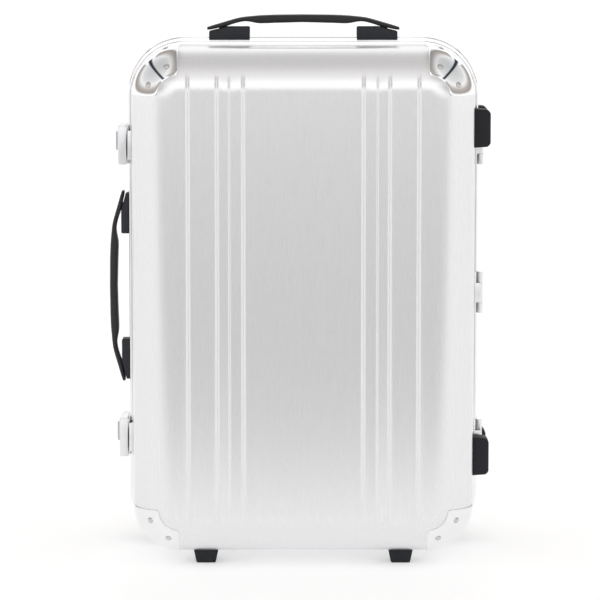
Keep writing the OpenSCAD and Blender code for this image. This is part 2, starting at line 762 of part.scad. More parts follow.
module wheel_tyre(sx) color("dimgray") at_wheel(sx) rotate_extrude($fn = 96)
    translate([hub_r, 0]) intersection() {
        translate([0, -wheel_w / 2]) square([wheel_r - hub_r, wheel_w]);
        translate([wheel_r - hub_r - 20, 0]) circle(20, $fn = 96);
    }

front_shell();
front_frame();
front_protector(-1, 1);  // front_protector_top_left
front_protector(1, 1);  // front_protector_top_right
front_protector(-1, -1);  // front_protector_bottom_left
front_protector(1, -1);  // front_protector_bottom_right
front_rivets();
hinge_lid_leaves();
latch_keeper(latch_z[0]);  // latch_keeper_upper
latch_keeper(latch_z[1]);  // latch_keeper_lower
lid_side_feet();
bottom_feet();
lid_lining();
back_shell();
back_frame();
frame_seal();
back_protector(-1);  // back_protector_left
back_protector(1);  // back_protector_right
back_rivets();
hinge_base_leaves();
hinge_pins();
latch_base(latch_z[0]);  // latch_base_upper
latch_base(latch_z[1]);  // latch_base_lower
latch_pins();
top_handle_mounts();
side_handle_mounts();
base_side_feet();
base_lining_floor();
base_lining_walls();
wheel_housing(-1);  // wheel_housing_left
wheel_housing(1);  // wheel_housing_right
wheel_axles();
wheel_bearings();
trolley_outer_tubes();
trolley_cup();
packing_straps();
strap_buckles();
latch_lever(latch_z[0]);  // latch_lever_upper
latch_lever(latch_z[1]);  // latch_lever_lower
dial_spindle(latch_z[0]);  // dial_spindle_upper
dial_spindle(latch_z[1]);  // dial_spindle_lower
dial(latch_z[0], 0);  // dial_upper_1
dial(latch_z[0], 1);  // dial_upper_2
dial(latch_z[0], 2);  // dial_upper_3
dial(latch_z[1], 0);  // dial_lower_1
dial(latch_z[1], 1);  // dial_lower_2
dial(latch_z[1], 2);  // dial_lower_3
top_handle_strap();
side_handle_strap();
trolley_mid_tubes();
trolley_inner_tubes();
trolley_grip();
release_button();
wheel_hub(-1);  // wheel_hub_left
wheel_hub(1);  // wheel_hub_right
wheel_tyre(-1);  // wheel_tyre_left
wheel_tyre(1);  // wheel_tyre_right
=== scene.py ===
"""Looks of the hard shell cabin case: every visible piece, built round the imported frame.

All sizes are in metres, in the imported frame: +X to the hinges, -Y to the lid's face, +Z up.
"""
import json
import math

import bmesh
import bpy
from mathutils import Matrix, Vector


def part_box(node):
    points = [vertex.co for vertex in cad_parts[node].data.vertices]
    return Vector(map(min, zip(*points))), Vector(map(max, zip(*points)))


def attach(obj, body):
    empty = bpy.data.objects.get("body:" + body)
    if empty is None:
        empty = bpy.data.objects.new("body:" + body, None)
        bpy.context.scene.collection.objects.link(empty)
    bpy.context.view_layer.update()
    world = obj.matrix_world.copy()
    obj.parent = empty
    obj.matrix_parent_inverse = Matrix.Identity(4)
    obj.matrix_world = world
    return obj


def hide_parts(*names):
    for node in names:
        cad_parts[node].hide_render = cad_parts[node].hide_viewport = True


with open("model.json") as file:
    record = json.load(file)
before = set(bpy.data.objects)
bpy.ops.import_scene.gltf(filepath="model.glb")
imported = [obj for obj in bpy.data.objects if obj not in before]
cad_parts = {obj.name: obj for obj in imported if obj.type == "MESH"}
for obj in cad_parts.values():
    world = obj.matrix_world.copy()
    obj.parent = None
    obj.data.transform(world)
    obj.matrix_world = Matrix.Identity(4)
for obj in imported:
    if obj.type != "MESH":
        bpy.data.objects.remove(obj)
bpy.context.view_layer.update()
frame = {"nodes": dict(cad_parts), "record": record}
MM = 0.001

# ---------- Sizes, read from the frame where it has them ----------

SHELL_LO, SHELL_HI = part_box("front_shell")
RAIL_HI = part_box("back_frame")[1]
LID_RAIL_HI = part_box("front_frame")[1]
MID_X = (SHELL_LO.x + SHELL_HI.x) / 2
MID_Z = (SHELL_LO.z + SHELL_HI.z) / 2
HALF_W = (SHELL_HI.x - SHELL_LO.x) / 2
HALF_H = (SHELL_HI.z - SHELL_LO.z) / 2
CORNER_R = 50 * MM                      # corner of the case, seen from the front
EDGE_R = 40 * MM                        # fold from the walls to the face
SHEET_T = 1.2 * MM
BEAD_H = 1.5 * MM
BEAD_W = 5.0 * MM
FACE_Y = -SHELL_LO.y - BEAD_H           # depth of a flat face from the seam
FLAT_D = FACE_Y - EDGE_R                # depth of a wall up to its rounded edge
AXIS_X = HALF_W - CORNER_R              # axes of the corners, from the middle of the case
AXIS_Z = HALF_H - CORNER_R
BASE_LIP = RAIL_HI.x - SHELL_HI.x       # how far each rail stands out from the sheet
LID_LIP = LID_RAIL_HI.x - SHELL_HI.x
BASE_RAIL_D = RAIL_HI.y
LID_RAIL_D = 12 * MM
SEAM = 0.6 * MM                         # gap between the two rails
BEADS = [60.4 * MM, 74.4 * MM, 86.7 * MM, 116 * MM]
BEAD_FADE = (7 * MM, 26 * MM)           # beads run out over this reach past the corner axes
RIDGE_AT, RIDGE_HALF, RIDGE_H = 74.4 * MM, 13 * MM, 0.9 * MM
CLOSE = 1e-7                            # points nearer than this are one point


# ---------- Materials ----------

def node_material(name, colour, rough, metallic=0.0, **sockets):
    """New Principled material, as (material, nodes, links, shader)."""
    mat = bpy.data.materials.new(name)
    mat.use_nodes = True
    nodes, links = mat.node_tree.nodes, mat.node_tree.links
    shader = nodes["Principled BSDF"]
    shader.inputs["Base Color"].default_value = (*colour, 1)
    shader.inputs["Roughness"].default_value = rough
    shader.inputs["Metallic"].default_value = metallic
    for key, value in sockets.items():
        shader.inputs[key.replace("_", " ")].default_value = value
    return mat, nodes, links, shader


def math_node(nodes, links, operation, *inputs):
    node = nodes.new("ShaderNodeMath")
    node.operation = operation
    for socket, value in zip(node.inputs, inputs):
        if isinstance(value, (int, float)):
            socket.default_value = value
        else:
            links.new(value, socket)
    return node.outputs[0]


def grey(level):
    """Colour socket value of a brightness or of a (red, green, blue) colour."""
    return (*level, 1) if isinstance(level, tuple) else (level, level, level, 1)


def stretched_noise(nodes, links, scale, detail=4.0, rough=0.55):
    """Noise over object coordinates, with a number of grains a metre along each axis."""
    where = nodes.new("ShaderNodeTexCoord")
    mapping = nodes.new("ShaderNodeMapping")
    mapping.inputs["Scale"].default_value = scale
    noise = nodes.new("ShaderNodeTexNoise")
    noise.inputs["Scale"].default_value = 1.0
    noise.inputs["Detail"].default_value = detail
    noise.inputs["Roughness"].default_value = rough
    links.new(where.outputs["Object"], mapping.inputs["Vector"])
    links.new(mapping.outputs["Vector"], noise.inputs["Vector"])
    return noise.outputs["Fac"]


def ramp(nodes, links, factor, low, high, start=0.3, end=0.7):
    """Colour ramp between two greys or colours."""
    node = nodes.new("ShaderNodeValToRGB")
    for stop, value, position in zip(node.color_ramp.elements, (low, high), (start, end)):
        stop.position, stop.color = position, grey(value)
    links.new(factor, node.inputs["Fac"])
    return node.outputs["Color"]


def add_bump(nodes, links, shader, height, strength, distance):
    bump = nodes.new("ShaderNodeBump")
    bump.inputs["Strength"].default_value = strength
    bump.inputs["Distance"].default_value = distance
    links.new(height, bump.inputs["Height"])
    links.new(bump.outputs["Normal"], shader.inputs["Normal"])


def brushed_metal(name, colour, rough, grain=(2600, 2600, 22), spread=0.015, bump=0.03, tint=0.01):
    """Metal with a fine upright grain in its colour, roughness and relief, so that it blurs sideways."""
    mat, nodes, links, shader = node_material(name, colour, rough, 1.0, Anisotropic=0.5)
    tangent = nodes.new("ShaderNodeTangent")
    tangent.direction_type = "RADIAL"
    tangent.axis = "Z"
    links.new(tangent.outputs["Tangent"], shader.inputs["Tangent"])
    fine = stretched_noise(nodes, links, grain)
    broad = stretched_noise(nodes, links, tuple(g / 3 for g in grain), 3.0)
    dark = tuple(max(c - tint, 0) for c in colour)
    links.new(ramp(nodes, links, broad, dark, colour), shader.inputs["Base Color"])
    links.new(ramp(nodes, links, fine, rough - spread, rough + spread), shader.inputs["Roughness"])
    add_bump(nodes, links, shader, fine, bump, 0.01 * MM)
    return mat


def cast_metal(name, colour, rough, grain=900, spread=0.05, bump=0.15):
    """Bead-blasted or polished metal with an even grain."""
    mat, nodes, links, shader = node_material(name, colour, rough, 1.0)
    noise = stretched_noise(nodes, links, (grain, grain, grain))
    smear = stretched_noise(nodes, links, (35, 35, 35), 3.0)
    dark = tuple(c * 0.965 for c in colour)
    links.new(ramp(nodes, links, smear, dark, colour), shader.inputs["Base Color"])
    links.new(ramp(nodes, links, smear, max(rough - spread, 0.02), rough + spread), shader.inputs["Roughness"])
    add_bump(nodes, links, shader, noise, bump, 0.01 * MM)
    return mat


def moulded(name, colour, rough, grain=1500, lift=1.6, bump=0.35, **sockets):
    """Moulded plastic or rubber with a fine leathery grain and a slight bloom."""
    mat, nodes, links, shader = node_material(name, colour, rough, 0.0, **sockets)
    noise = stretched_noise(nodes, links, (grain, grain, grain), 5.0)
    bloom = stretched_noise(nodes, links, (55, 55, 55), 3.0)
    light = tuple(min(c * lift, 1) for c in colour)
    links.new(ramp(nodes, links, bloom, colour, light), shader.inputs["Base Color"])
    links.new(ramp(nodes, links, bloom, rough - 0.05, rough + 0.07), shader.inputs["Roughness"])
    add_bump(nodes, links, shader, noise, bump, 0.08 * MM)
    return mat


def woven(name, colour, threads=1100, rough=0.85, bump=0.6, contrast=0.55, axes=(0, 2)):
    """Plain weave: two sets of threads crossing in the plane of the given axes."""
    mat, nodes, links, shader = node_material(name, colour, rough, 0.0)
    shader.inputs["Sheen Weight"].default_value = 0.25
    where = nodes.new("ShaderNodeTexCoord")
    split = nodes.new("ShaderNodeSeparateXYZ")
    links.new(where.outputs["Object"], split.inputs["Vector"])
    waves = [math_node(nodes, links, "SINE",
                       math_node(nodes, links, "MULTIPLY", split.outputs[axis], threads * math.pi))
             for axis in axes]
    height = nodes.new("ShaderNodeMapRange")
    height.inputs["From Min"].default_value = -1.0
    links.new(math_node(nodes, links, "MULTIPLY", *waves), height.inputs["Value"])
    dark = tuple(c * contrast for c in colour)
    links.new(ramp(nodes, links, height.outputs["Result"], dark, colour), shader.inputs["Base Color"])
    add_bump(nodes, links, shader, height.outputs["Result"], bump, 0.15 * MM)
    return mat


SHEET = brushed_metal("brushed_sheet", (0.82, 0.82, 0.83), 0.28)
RAIL = cast_metal("polished_rail", (0.90, 0.90, 0.91), 0.16)
CHROME = cast_metal("chrome_plate", (0.88, 0.885, 0.89), 0.05, spread=0.02, bump=0.05)
STEEL = cast_metal("rivet_steel", (0.62, 0.61, 0.60), 0.22)
SATIN = cast_metal("satin_metal", (0.84, 0.845, 0.86), 0.34)
TUBE = brushed_metal("tube_metal", (0.76, 0.77, 0.78), 0.28, tint=0.02)
DIAL = moulded("dial_grey", (0.52, 0.52, 0.53), 0.4, lift=1.06, bump=0.1)
RUBBER = moulded("foot_rubber", (0.008, 0.009, 0.012), 0.55, lift=1.5, Specular_IOR_Level=0.3)
BLACK = moulded("black_plastic", (0.014, 0.017, 0.022), 0.5, lift=1.4, Specular_IOR_Level=0.35)
STRAP = moulded("strap_cover", (0.016, 0.015, 0.017), 0.5, lift=1.5, Specular_IOR_Level=0.4)
GRIP = moulded("grip_plastic", (0.022, 0.023, 0.026), 0.55)
BUTTON = cast_metal("button_silver", (0.62, 0.63, 0.65), 0.3)
LINING = woven("lining_cloth", (0.10, 0.105, 0.125))
WEBBING = woven("strap_webbing", (0.045, 0.05, 0.06), threads=620, bump=0.9)
HUB = moulded("hub_plastic", (0.30, 0.305, 0.315), 0.42, lift=1.1, bump=0.15)
TYRE = moulded("tyre_rubber", (0.022, 0.022, 0.024), 0.68)

SLOT_LOOK = {
    "shell_sheet": SHEET, "frame_rail": RAIL, "chrome_plate": CHROME, "rivet_steel": STEEL,
    "hinge_metal": SATIN, "latch_metal": SATIN, "dial_plastic": DIAL, "foot_rubber": RUBBER,
    "black_plastic": BLACK, "strap_skin": STRAP, "grip_plastic": GRIP, "button_plastic": BUTTON,
    "tube_metal": TUBE, "lining_fabric": LINING, "webbing": WEBBING, "hub_plastic": HUB, "tyre": TYRE,
}


def dress_cad_nodes():
    """Gives each carried CAD node the look of its slot."""
    for part in frame["record"]["subparts"]:
        obj = frame["nodes"][part["node"]]
        obj.data.materials.clear()
        obj.data.materials.append(SLOT_LOOK[part["material_slot"]])


# ---------- Mesh helpers ----------

def piece(name, verts, faces, look, body, replaces=(), smooth=35, modifiers=()):
    """Makes a closed or open mesh a piece of the case: look, modifiers applied, body, and the nodes it replaces
    hidden.
    """
    mesh = bpy.data.meshes.new(name)
    mesh.from_pydata([tuple(v) for v in verts], [], faces)
    obj = bpy.data.objects.new(name, mesh)
    bpy.context.scene.collection.objects.link(obj)
    mesh.materials.append(look)
    return settle(obj, body, replaces, smooth, modifiers)


def settle(obj, body, replaces=(), smooth=35, modifiers=()):
    """Cleans an object's mesh, applies modifiers and ties it to the frame."""
    work = bmesh.new()
    work.from_mesh(obj.data)
    bmesh.ops.remove_doubles(work, verts=work.verts, dist=CLOSE)
    bmesh.ops.recalc_face_normals(work, faces=work.faces)
    work.to_mesh(obj.data)
    work.free()
    for kind, settings in modifiers:
        modifier = obj.modifiers.new(kind, kind)
        for key, value in settings.items():
            setattr(modifier, key, value)
    bake_modifiers(obj)
    shade(obj, smooth)
    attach(obj, body)
    if replaces:
        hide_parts(*replaces)
    return obj


def shade(obj, angle):
    obj.data.polygons.foreach_set("use_smooth", [True] * len(obj.data.polygons))
    obj.data.set_sharp_from_angle(angle=math.radians(angle))


def bake_modifiers(obj):
    if not obj.modifiers:
        return
    bpy.context.view_layer.update()
    done = bpy.data.meshes.new_from_object(obj.evaluated_get(bpy.context.evaluated_depsgraph_get()))
    obj.modifiers.clear()
    obj.data = done


def bevel(width, segments=3, angle=35):
    return ("BEVEL", {"width": width, "segments": segments, "limit_method": "ANGLE",
                      "angle_limit": math.radians(angle), "harden_normals": False})


def solidify(thickness):
    return ("SOLIDIFY", {"thickness": thickness, "offset": -1, "use_even_offset": True})


def quads(rows, columns, wrap_rows=False, wrap_columns=False):
    """Faces of a grid of points stored row by row."""
    faces = []
    for i in range(rows if wrap_rows else rows - 1):
        for j in range(columns if wrap_columns else columns - 1):
            a, b = i * columns + j, i * columns + (j + 1) % columns
            i2 = (i + 1) % rows
            faces.append((a, b, i2 * columns + (j + 1) % columns, i2 * columns + j))
    return faces


def spaced(a, b, count):
    """Evenly spaced values from a to b, both included."""
    return [a + (b - a) * k / (count - 1) for k in range(count)]


def arc(cx, cy, r, start, end, count):
    """Points of an arc, angles in degrees."""
    return [(cx + r * math.cos(math.radians(t)), cy + r * math.sin(math.radians(t)))
            for t in spaced(start, end, count)]


def full_turn(steps):
    """Evenly spaced angles round a circle."""
    return [2 * math.pi * k / steps for k in range(steps)]


def smoothstep(a, b, x):
    t = min(max((x - a) / (b - a), 0), 1)
    return t * t * (3 - 2 * t)


def plan_ring(r, xs, zs, turns=10):
    """Closed loop round the case: straight sides at r from the corner axes, joined by arcs."""
    loop = [(AXIS_X + r, z) for z in zs]
    loop += arc(AXIS_X, AXIS_Z, r, 0, 90, turns + 1)[1:-1]
    loop += [(x, AXIS_Z + r) for x in reversed(xs)]
    loop += arc(-AXIS_X, AXIS_Z, r, 90, 180, turns + 1)[1:-1]
    loop += [(-AXIS_X - r, z) for z in reversed(zs)]
    loop += arc(-AXIS_X, -AXIS_Z, r, 180, 270, turns + 1)[1:-1]
    loop += [(x, -AXIS_Z - r) for x in xs]
    loop += arc(AXIS_X, -AXIS_Z, r, 270, 360, turns + 1)[1:-1]
    return loop


def to_world(x, depth, z, side):
    """Plan point to the row's frame: side is -1 for the lid and 1 for the base."""
    return Vector((MID_X + x, side * depth, MID_Z + z))


def swept_ring(profile, side, turns=14):
    """Verts and faces of a closed profile of (r, depth) swept round the case."""
    xs = spaced(-AXIS_X, AXIS_X, 9)
    zs = spaced(-AXIS_Z, AXIS_Z, 13)
    verts = []
    for r, depth in profile:
        verts += [to_world(x, depth, z, side) for x, z in plan_ring(r, xs, zs, turns)]
    columns = len(verts) // len(profile)
    return verts, quads(len(profile), columns, wrap_rows=True, wrap_columns=True)


def bend(a, p, b, count):
    """Points of the curve from a to b that heads for p at both ends."""
    return [tuple(a * (1 - t) ** 2 + p * 2 * t * (1 - t) + b * t ** 2) for t in spaced(0, 1, count)]


def rounded_profile(points, radii, steps):
    """Closed polygon with each corner cut by a small arc of its own radius."""
    out = []
    side_share = 0.45       # most of a side that one arc may take
    for i, radius in enumerate(radii):
        p = Vector(points[i])
        before, after = Vector(points[i - 1]) - p, Vector(points[(i + 1) % len(points)]) - p
        reach = min(radius, before.length * side_share, after.length * side_share)
        out += bend(p + before.normalized() * reach, p, p + after.normalized() * reach, steps + 1)
    return out


def extruded(outline, length, place):
    """Prism of a closed 2D outline, from 0 to length along local Z, set by a matrix."""
    count = len(outline)
    verts = [place @ Vector((x, y, 0)) for x, y in outline]
    verts += [place @ Vector((x, y, length)) for x, y in outline]
    faces = [tuple(range(count))[::-1], tuple(range(count, 2 * count))]
    faces += [(i, (i + 1) % count, count + (i + 1) % count, count + i) for i in range(count)]
    return verts, faces


def lathed(profile, place, steps=32):
    """Surface of revolution about local Z from (r, z) points, closed at an axis point."""
    return [place @ Vector((r * math.cos(t), r * math.sin(t), z)) for r, z in profile
            for t in full_turn(steps)], quads(len(profile), steps, wrap_columns=True)


def merged(parts):
    """Joins several (verts, faces) pairs into one."""
    verts, faces = [], []
    for v, f in parts:
        base = len(verts)
        verts += v
        faces += [tuple(i + base for i in face) for face in f]
    return verts, faces


def trimmed(verts, faces, boxes):
    """Surface with the parts inside boxes cut away along the boxes' sides."""
    work = bmesh.new()
    for v in verts:
        work.verts.new(v)
    work.verts.ensure_lookup_table()
    for face in faces:
        work.faces.new([work.verts[i] for i in face])
    bmesh.ops.remove_doubles(work, verts=work.verts, dist=CLOSE)
    margin = 2 * MM
    for low, high in boxes:
        for axis in range(3):
            for at in (low[axis], high[axis]):
                point, normal = Vector((0, 0, 0)), Vector((0, 0, 0))
                point[axis], normal[axis] = at, 1
                near = [f for f in work.faces
                        if all(max(v.co[k] for v in f.verts) > low[k] - margin
                               and min(v.co[k] for v in f.verts) < high[k] + margin for k in range(3))]
                parts = near + [e for f in near for e in f.edges] + [v for f in near for v in f.verts]
                bmesh.ops.bisect_plane(work, geom=list(dict.fromkeys(parts)), plane_co=point,
                                       plane_no=normal, dist=CLOSE)
        inside = [f for f in work.faces if all(low[k] < f.calc_center_median()[k] < high[k] for k in range(3))]
        bmesh.ops.delete(work, geom=inside, context="FACES")
    work.verts.index_update()
    out = [v.co.copy() for v in work.verts], [tuple(v.index for v in f.verts) for f in work.faces]
    work.free()
    return out


def cut(obj, boxes):
    """Cuts boxes, given as (low corner, high corner), out of an object."""
    for low, high in boxes:
        corners = [(x, y, z) for x in (low[0], high[0]) for y in (low[1], high[1]) for z in (low[2], high[2])]
        mesh = bpy.data.meshes.new("cutter")
        mesh.from_pydata(corners, [], [(0, 1, 3, 2), (4, 6, 7, 5), (0, 4, 5, 1), (2, 3, 7, 6),
                                       (0, 2, 6, 4), (1, 5, 7, 3)])
        cutter = bpy.data.objects.new("cutter", mesh)
        bpy.context.scene.collection.objects.link(cutter)
        modifier = obj.modifiers.new("cut", "BOOLEAN")
        modifier.operation = "DIFFERENCE"
        modifier.solver = "EXACT"
        modifier.object = cutter
        bake_modifiers(obj)
        bpy.data.objects.remove(cutter)
        bpy.data.meshes.remove(mesh)


# ---------- Shells ----------

GROOVE = 2 * MM             # depth of the sheet's edge inside its rail
FAR = 0.3                   # past the outside of the case


def bead_height(x, z):
    """Height of the pressed beads and the low ridge under them, which run out into the rounded edges."""
    height = 0.0
    for centre, half, rise in [(bead, BEAD_W / 2, BEAD_H) for bead in BEADS] + [(RIDGE_AT, RIDGE_HALF, RIDGE_H)]:
        t = abs(abs(x) - centre) / half
        if t < 1:
            height = max(height, rise * (math.cos(math.pi * t) + 1) / 2)
    return height * (1 - smoothstep(AXIS_Z + BEAD_FADE[0], AXIS_Z + BEAD_FADE[1], abs(z)))


def bead_samples():
    """X positions across the face: close together at each bead."""
    across, digits, apart = 6, 7, 0.3 * MM
    fine = [k / across * BEAD_W / 2 for k in range(-across, across + 1)]
    xs = {round(s * (c + f), digits) for s in (-1, 1) for c in BEADS for f in fine}
    xs |= {round(x, digits) for x in spaced(-AXIS_X, AXIS_X, 25)}
    xs = sorted(x for x in xs if abs(x) <= AXIS_X + 1e-6)
    kept = [xs[0]]
    for x in xs[1:]:
        if x - kept[-1] > apart:
            kept.append(x)
    kept[-1] = AXIS_X
    return kept


def tray_surface(out, start, side, shape):
    """Surface of a drawn half at an offset from the shell; shape(x, z) is the relief of its face."""
    xs, zs = bead_samples(), spaced(-AXIS_Z, AXIS_Z, 25)
    corner, edge = CORNER_R + out, EDGE_R + out
    steps = [(corner, d, 0.0) for d in spaced(start, FLAT_D, 4)]
    for degrees in spaced(5, 90, 18):
        angle = math.radians(degrees)
        steps.append((corner - edge + edge * math.cos(angle), FLAT_D + edge * math.sin(angle), angle))
    steps += [(share * (corner - edge), FLAT_D + edge, math.pi / 2) for share in (0.75, 0.5, 0.25, 0)]
    verts = []
    for r, depth, angle in steps:
        for x, z in plan_ring(r, xs, zs):
            rise = shape(x, z)
            away = Vector((max(abs(x) - AXIS_X, 0) * (1 if x > 0 else -1),
                           max(abs(z) - AXIS_Z, 0) * (1 if z > 0 else -1)))
            away = away.normalized() if away.length > 0 else Vector((0, 0))
            level = rise * math.cos(angle)
            verts.append(to_world(x + away.x * level, depth + rise * math.sin(angle), z + away.y * level, side))
    columns = len(verts) // len(steps)
    faces = quads(len(steps), columns, wrap_columns=True)
    first = len(verts)
    for z in zs:
        verts += [to_world(x, FLAT_D + edge + shape(x, z), z, side) for x in xs]
    faces += [tuple(first + i for i in face) for face in quads(len(zs), len(xs))]
    return verts, faces


def half_shell(name, side, node, body, cuts=()):
    """Drawn half shell: walls, rounded edge and beaded face, one sheet thick."""
    verts, faces = tray_surface(0, SEAM / 2 + GROOVE, side, bead_height)
    verts, faces = trimmed(verts, faces, cuts)
    return piece(name, verts, faces, SHEET, body, (node,), 40, [solidify(SHEET_T)])


def fitting_boxes(room, cup_back):
    """Boxes for the pull handle's cup and the wheel housings, open outwards, with room round them."""
    cup_lo, cup_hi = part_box("trolley_cup")
    left_lo, left_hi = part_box("wheel_housing_left")
    right_lo, right_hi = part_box("wheel_housing_right")
    return [((cup_lo.x - room, cup_lo.y - room, cup_lo.z - room), (cup_hi.x + room, cup_back, FAR * 2)),
            ((-FAR, left_lo.y - room, -FAR), (left_hi.x + room, FAR, left_hi.z + room)),
            ((right_lo.x - room, right_lo.y - room, -FAR), (FAR, FAR, right_hi.z + room))]


# ---------- Closing frame ----------

RAIL_FIT = 0.02 * MM                                    # clearance of a rail on the sheet
FLANGE_D = 14 * MM
LID_FLANGE_T, BASE_FLANGE_T = 2.5 * MM, 4.3 * MM
RAIL_ROUNDING = [2.2 * MM, 1.6 * MM] + [0.3 * MM] * 6   # the two outer corners, then the rest


def rail(name, side, lip, depth, look, node, body):
    """U-section rail: rounded outer lip, web under the sheet and inner flange."""
    sheet_in, sheet_out, start = CORNER_R - SHEET_T, CORNER_R + RAIL_FIT, SEAM / 2
    inner = sheet_in - (LID_FLANGE_T if side < 0 else BASE_FLANGE_T)
    outline = [(CORNER_R + lip, start), (CORNER_R + lip, depth), (sheet_out, depth), (sheet_out, start + GROOVE),
               (sheet_in, start + GROOVE), (sheet_in, FLANGE_D), (inner, FLANGE_D), (inner, start)]
    verts, faces = swept_ring(rounded_profile(outline, RAIL_ROUNDING, 5), side)
    return piece(name, verts, faces, look, body, (node,), 40)


# ---------- Corner protectors ----------

GUARD_REACH = 47 * MM       # from the outside of the corner to the ends of the chrome
GUARD_T = 1.2 * MM
GUARD_GAP = 0.3 * MM        # between a rail and the chrome
SCALLOP_R = 22 * MM         # hollow in the inner edge, and its centre from the corner's axis
SCALLOP_AT = 2 * MM
LOBE_STEP = 2.6 * MM        # where the hollow leaves the lobes at its ends
LOBE_BEND = (0.2 * MM, 3.2 * MM)


def guard_inner_edge():
    """Inner edge of a protector seen from the front, from one lobe's side to the other's."""
    side = CORNER_R - GUARD_REACH
    meet = math.degrees(math.asin((side + LOBE_STEP - SCALLOP_AT) / SCALLOP_R))
    bow = arc(SCALLOP_AT, SCALLOP_AT, SCALLOP_R, meet, 90 - meet, 33)
    corner = Vector((SCALLOP_AT + SCALLOP_R + LOBE_BEND[0], side))
    blend = bend(Vector((corner.x + LOBE_BEND[1], side)), corner, Vector(bow[0]), 8)[:-1]
    return blend + bow + [(y, x) for x, y in reversed(blend)]


def protector(name, sx, sz, side, start, node, body):
    """Chrome corner that wraps over the rounded edge and down both walls to the rail."""
    inner = guard_inner_edge()
    low = math.degrees(math.asin((CORNER_R - GUARD_REACH) / CORNER_R))
    outer_angles = spaced(low, 90 - low, len(inner))
    rows = []
    for (ux, uz), angle in zip(inner, outer_angles):
        wall = Vector((CORNER_R * math.cos(math.radians(angle)), CORNER_R * math.sin(math.radians(angle))))
        edge = Vector((ux, uz))
        first_tilt = math.asin(min(max((edge.length - CORNER_R + EDGE_R) / EDGE_R, 0), 1))
        row = []
        for tilt in spaced(first_tilt, math.pi / 2, 18):
            r = CORNER_R - EDGE_R + EDGE_R * math.sin(tilt)
            share = (r - edge.length) / (CORNER_R - edge.length)
            at = edge.lerp(wall, min(max(share, 0), 1))
            grow = 1 + GUARD_T * math.sin(tilt) / at.length
            row.append((at.x * grow, FLAT_D + (EDGE_R + GUARD_T) * math.cos(tilt), at.y * grow))
        grow = 1 + GUARD_T / CORNER_R
        for depth in spaced(FLAT_D, start, 7)[1:]:
            row.append((wall.x * grow, depth, wall.y * grow))
        rows.append(row)
    columns = len(rows[0])
    verts = [to_world(sx * (AXIS_X + x), depth, sz * (AXIS_Z + z), side) for row in rows for x, depth, z in row]
    faces = quads(len(rows), columns)
    return piece(name, verts, faces, CHROME, body, (node,), 50,
                 [solidify(GUARD_T * 0.96), bevel(0.35 * MM, 2, 50)])


FACE_RIVETS = [(23.6, 38.5), (66.4, 38.5)]      # degrees round the corner, degrees over the fold
WALL_RIVETS = [20, 70]                          # degrees round the corner
RIVET_WALL_D = 45 * MM
RIVET_HEAD = [(0.0002, 1.25), (0.8, 1.2), (1.6, 1.0), (2.3, 0.62), (2.75, 0.2), (2.8, 0.0), (3.2, 0.06),
              (3.35, -0.1), (0.0002, -0.3)]     # (radius, height) in mm


def rivet_places(sx, sz, side):
    """Matrices of a corner's rivets: local Z points out of the sheet."""
    places = []
    for angle, tilt in FACE_RIVETS:
        a, t = math.radians(angle), math.radians(tilt)
        places.append((a, CORNER_R - EDGE_R + (EDGE_R + GUARD_T) * math.sin(t),
                       FLAT_D + (EDGE_R + GUARD_T) * math.cos(t), t))
    for angle in WALL_RIVETS:
        places.append((math.radians(angle), CORNER_R + GUARD_T, RIVET_WALL_D, math.pi / 2))
    out = []
    for a, r, depth, tilt in places:
        at = to_world(sx * (AXIS_X + r * math.cos(a)), depth, sz * (AXIS_Z + r * math.sin(a)), side)
        normal = Vector((sx * math.cos(a) * math.sin(tilt), side * math.cos(tilt),
                         sz * math.sin(a) * math.sin(tilt)))
        out.append(Matrix.Translation(at) @ normal.to_track_quat("Z", "Y").to_matrix().to_4x4())
    return out


def rivets(name, corners, side, node, body):
    """Domed rivets with a small struck ring at the foot of each head."""
    head = [(r * MM, h * MM) for r, h in RIVET_HEAD]
    parts = [lathed(head, place, 24) for sx, sz in corners for place in rivet_places(sx, sz, side)]
    verts, faces = merged(parts)
    return piece(name, verts, faces, STEEL, body, (node,), 45)


# ---------- Machined and moulded pieces ----------

NODE_BODY = {node: body for body, members in frame["record"]["behaviour"]["bodies"].items() for node in members}
NODE_SLOT = {part["node"]: part["material_slot"] for part in frame["record"]["subparts"]}


def finished(node, edge):
    """Piece made from a node's outline: flat faces joined up and every hard edge rounded."""
    work = bmesh.new()
    work.from_mesh(frame["nodes"][node].data)
    bmesh.ops.remove_doubles(work, verts=work.verts, dist=1e-6)
    bmesh.ops.dissolve_limit(work, angle_limit=math.radians(1), verts=work.verts, edges=work.edges)
    mesh = bpy.data.meshes.new(node + "_finished")
    work.to_mesh(mesh)
    work.free()
    mesh.materials.clear()
    mesh.materials.append(SLOT_LOOK[NODE_SLOT[node]])
    obj = bpy.data.objects.new(node + "_finished", mesh)
    bpy.context.scene.collection.objects.link(obj)
    return settle(obj, NODE_BODY[node], (node,), 40, [bevel(edge)])


# ---------- Carry handles ----------

# Outline of a strap from its middle to one end: (along, up from the crest) in mm
STRAP_HALF = 99.2
STRAP_TOP = [(0, 0), (30, -0.35), (44, -0.9), (52, -1.6), (60, -2.4), (66, -3.2), (74, -5.4), (84, -8.4),
             (98.5, -12.6), (99.2, -13.6)]
STRAP_FOOT = [(0, -8), (30, -8.8), (42.6, -9.3), (48, -9.1), (54, -7.7), (58, -6.9), (63, -7.2), (71, -9.2),
              (79, -12.0), (98.5, -16.2), (99.2, -15.6)]
STRAP_W = 20 * MM
STRAP_END, STRAP_TAPER = 2.5, 0.125         # mm and share of the width that the ends round off
SQUARE_ACROSS, SQUARE_UP = 0.45, 0.62       # powers that square up the oval section
STEM_X, STEM_W, STEM_D, STEM_R = 83 * MM, 8 * MM, 12 * MM, 1.5 * MM
STEM_TOP = 10 * MM


